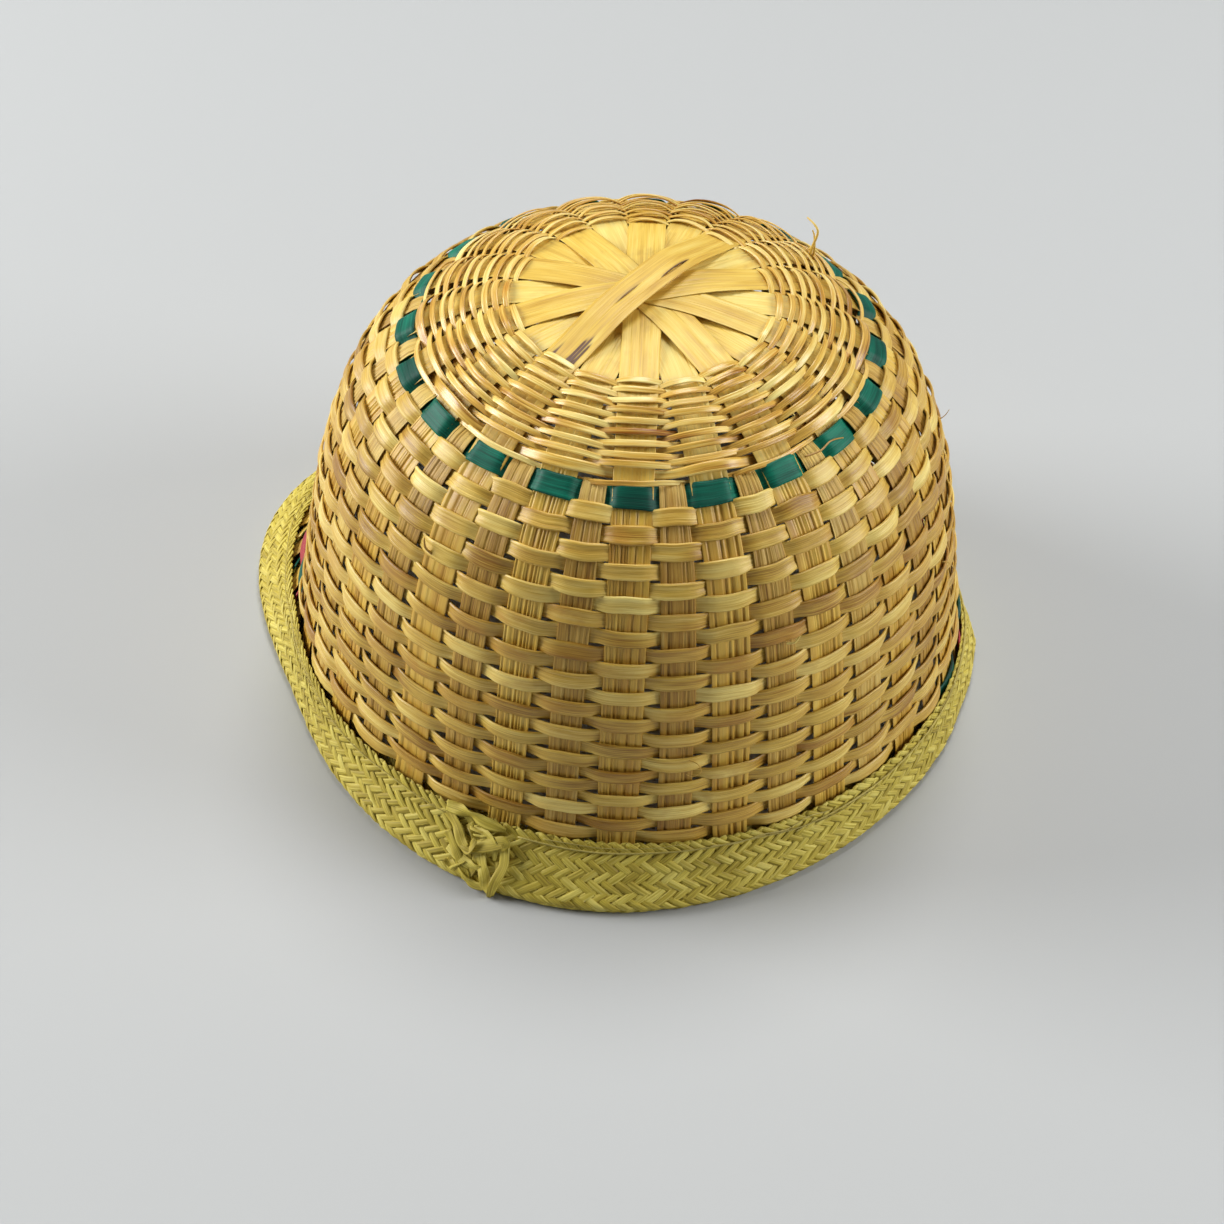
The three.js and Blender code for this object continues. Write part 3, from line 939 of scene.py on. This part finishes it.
def edge_threads():
    """Fibres lying along the braid's upper edge, one all round and a few shorter ones."""
    start, end = braid.around(THREAD_START), braid.around(THREAD_END) + braid.girth
    spans = [(start, end, 2.6, 0.3, 400)]
    for _ in range(9):
        begin = rng.uniform(start, end - 60)
        spans.append((begin, begin + rng.uniform(25, 60), rng.uniform(0.6, 5.5), 0.22, 40))
    parts = []
    for begin, stop, y, radius, count in spans:
        x = np.linspace(begin, stop, count)
        across = y + smooth_noise(x, max(6, count // 12), 0.55, False)
        spot, normal = braid.at(x, across)
        parts.append(fibre(spot + (0.6 + radius) * normal, radius, (0, 0, 1.0)))
    build("edge_threads", THREAD, ["rim_thread"], parts)


plaited_braid()
braid_end()
edge_threads()


# ---- Loose fibres ----
WEFT_TOP = 1.7
# Angle in degrees and distance down the surface, points round, down and out from there, and radius.
LOOSE = [
    (44, 67, [(0, 0, -1.5), (-0.5, -2.0, 3.4), (-1.2, -4.0, 8.6), (0.8, -5.0, 10.2), (4.6, -5.4, 10.6)], 0.6),
    (43, 68, [(0, 0, -1.5), (0.6, -1.6, 2.6), (2.2, -3.2, 6.4), (3.0, -4.4, 7.8)], 0.5),
    (47, 68, [(0, 0, -1), (-1.6, -0.8, 1.6), (-3.2, -2.0, 3.0)], 0.5),
    (290, 165, [(0, 0, 0), (2.5, 0.8, 1.4), (3.4, 3.6, 1.8), (1.2, 5.6, 1.2), (-1.0, 5.2, 0.5)], 0.2),
    (308, 129, [(-2, 0, -0.5), (0, -0.4, 1.0), (1.8, -2.2, 1.4)], 0.45),
    (240, 111, [(2, 1, -0.4), (0.5, -0.6, 1.4), (-0.4, -3.4, 2.0)], 0.5),
    (16, 126, [(0, 0, -0.5), (0.3, -0.8, 1.6), (0, -3.0, 3.2)], 0.2),
    (350, 147, [(0, 0, -0.5), (0.5, 0.6, 1.6), (0.2, 3.0, 3.4)], 0.22),
    (327, 76, [(-7, 1, -0.4), (-2, 2.2, 0.8), (3, 1.6, 1.2), (8, 3.0, 0.8)], 0.4),
]


def loose_fibres():
    """Broken fibres standing off the weave."""
    parts = []
    for degrees, along, points, radius in LOOSE:
        point, down, out = surface.frame_at(math.radians(degrees), along)
        round_way = np.cross(out, down)
        line = through(points, 8)
        base = point + WEFT_TOP * out
        centre = base + line[:, :1] * round_way + line[:, 1:2] * down + line[:, 2:] * out
        parts.append(fibre(centre, radius, down + 0.3 * round_way))
    build("loose_fibres", WEFT, ["wall_weft"], parts)


loose_fibres()


# ---- Floor, light and camera ----
def setting():
    """A pale round floor that curves up into a wall, and three soft lamps."""
    flat, curve, height, turns = 3.0, 1.2, 3.6, 72
    bend = np.linspace(0, math.pi / 2, 16)
    reach = [0.0, flat / 2, *(flat + curve * np.sin(bend)), flat + curve]
    rise = [0.0, 0.0, *(curve - curve * np.cos(bend)), height]
    angles = np.arange(turns) * TAU / turns
    verts = [(r * math.cos(a), r * math.sin(a), z) for r, z in zip(reach[1:], rise[1:]) for a in angles]
    rings = len(reach) - 1
    faces = [tuple(range(turns))]
    for i in range(rings - 1):
        for j in range(turns):
            k = (j + 1) % turns
            faces.append((i * turns + j, (i + 1) * turns + j, (i + 1) * turns + k, i * turns + k))
    floor_mesh = bpy.data.meshes.new("floor")
    floor_mesh.from_pydata(verts, [], faces)
    floor_mesh.shade_smooth()
    floor = bpy.data.objects.new("floor", floor_mesh)
    bpy.context.scene.collection.objects.link(floor)
    paper = bpy.data.materials.new("pale_paper")
    paper.use_nodes = True
    shader = paper.node_tree.nodes["Principled BSDF"]
    shader.inputs["Base Color"].default_value = (*srgb(181, 183, 183), 1)
    shader.inputs["Roughness"].default_value = 0.7
    floor_mesh.materials.append(paper)

    world = bpy.data.worlds.new("studio")
    world.use_nodes = True
    world.node_tree.nodes["Background"].inputs[0].default_value = (1.0, 0.96, 0.9, 1)
    world.node_tree.nodes["Background"].inputs[1].default_value = 0.035
    bpy.context.scene.world = world

    def lamp(name, place, size, power):
        data = bpy.data.lights.new(name, "AREA")
        data.shape, data.size, data.energy = "DISK", size, power
        light = bpy.data.objects.new(name, data)
        light.location = place
        light.visible_camera = False
        light.rotation_euler = (Vector((0, 0, 0.08)) - Vector(place)).to_track_quat("-Z", "Y").to_euler()
        bpy.context.scene.collection.objects.link(light)

    lamp("top_light", (0.0, 1.25, 2.95), 1.7, 66)
    lamp("left_light", (-2.05, -0.08, 0.9), 1.28, 56)
    lamp("right_light", (2.08, 0.14, 1.0), 1.28, 36)


def camera():
    """Behind and above, a little to the hat's right. Its place is in disc radii from the crown's
    centre, and aim turns it round the crown's axis."""
    elevation, turn, roll = math.radians(46.498), math.radians(0.998), math.radians(2.186)
    distance, shift_right, shift_up = 14.832, 0.245, 2.447
    aim = Matrix.Rotation(math.radians(9), 4, "Z")
    forward = -Vector(
        (
            math.sin(turn) * math.cos(elevation),
            -math.cos(turn) * math.cos(elevation),
            math.sin(elevation),
        )
    )
    level = Vector((math.cos(turn), math.sin(turn), 0))
    above = level.cross(forward)
    right = math.cos(roll) * level + math.sin(roll) * above
    up = -math.sin(roll) * level + math.cos(roll) * above
    place = -shift_right * right - shift_up * up - distance * forward
    pose = Matrix((right, up, -forward)).transposed().to_4x4()
    pose.translation = place * DISC_RADIUS * MM
    data = bpy.data.cameras.new("camera")
    data.sensor_width = 36
    data.lens = 55.8824
    data.clip_start = 0.01
    seen = bpy.data.objects.new("camera", data)
    seen.matrix_world = CROWN_TO_ROW @ aim @ pose
    bpy.context.scene.collection.objects.link(seen)
    bpy.context.scene.camera = seen


setting()
camera()
bpy.context.scene.view_settings.view_transform = "Standard"
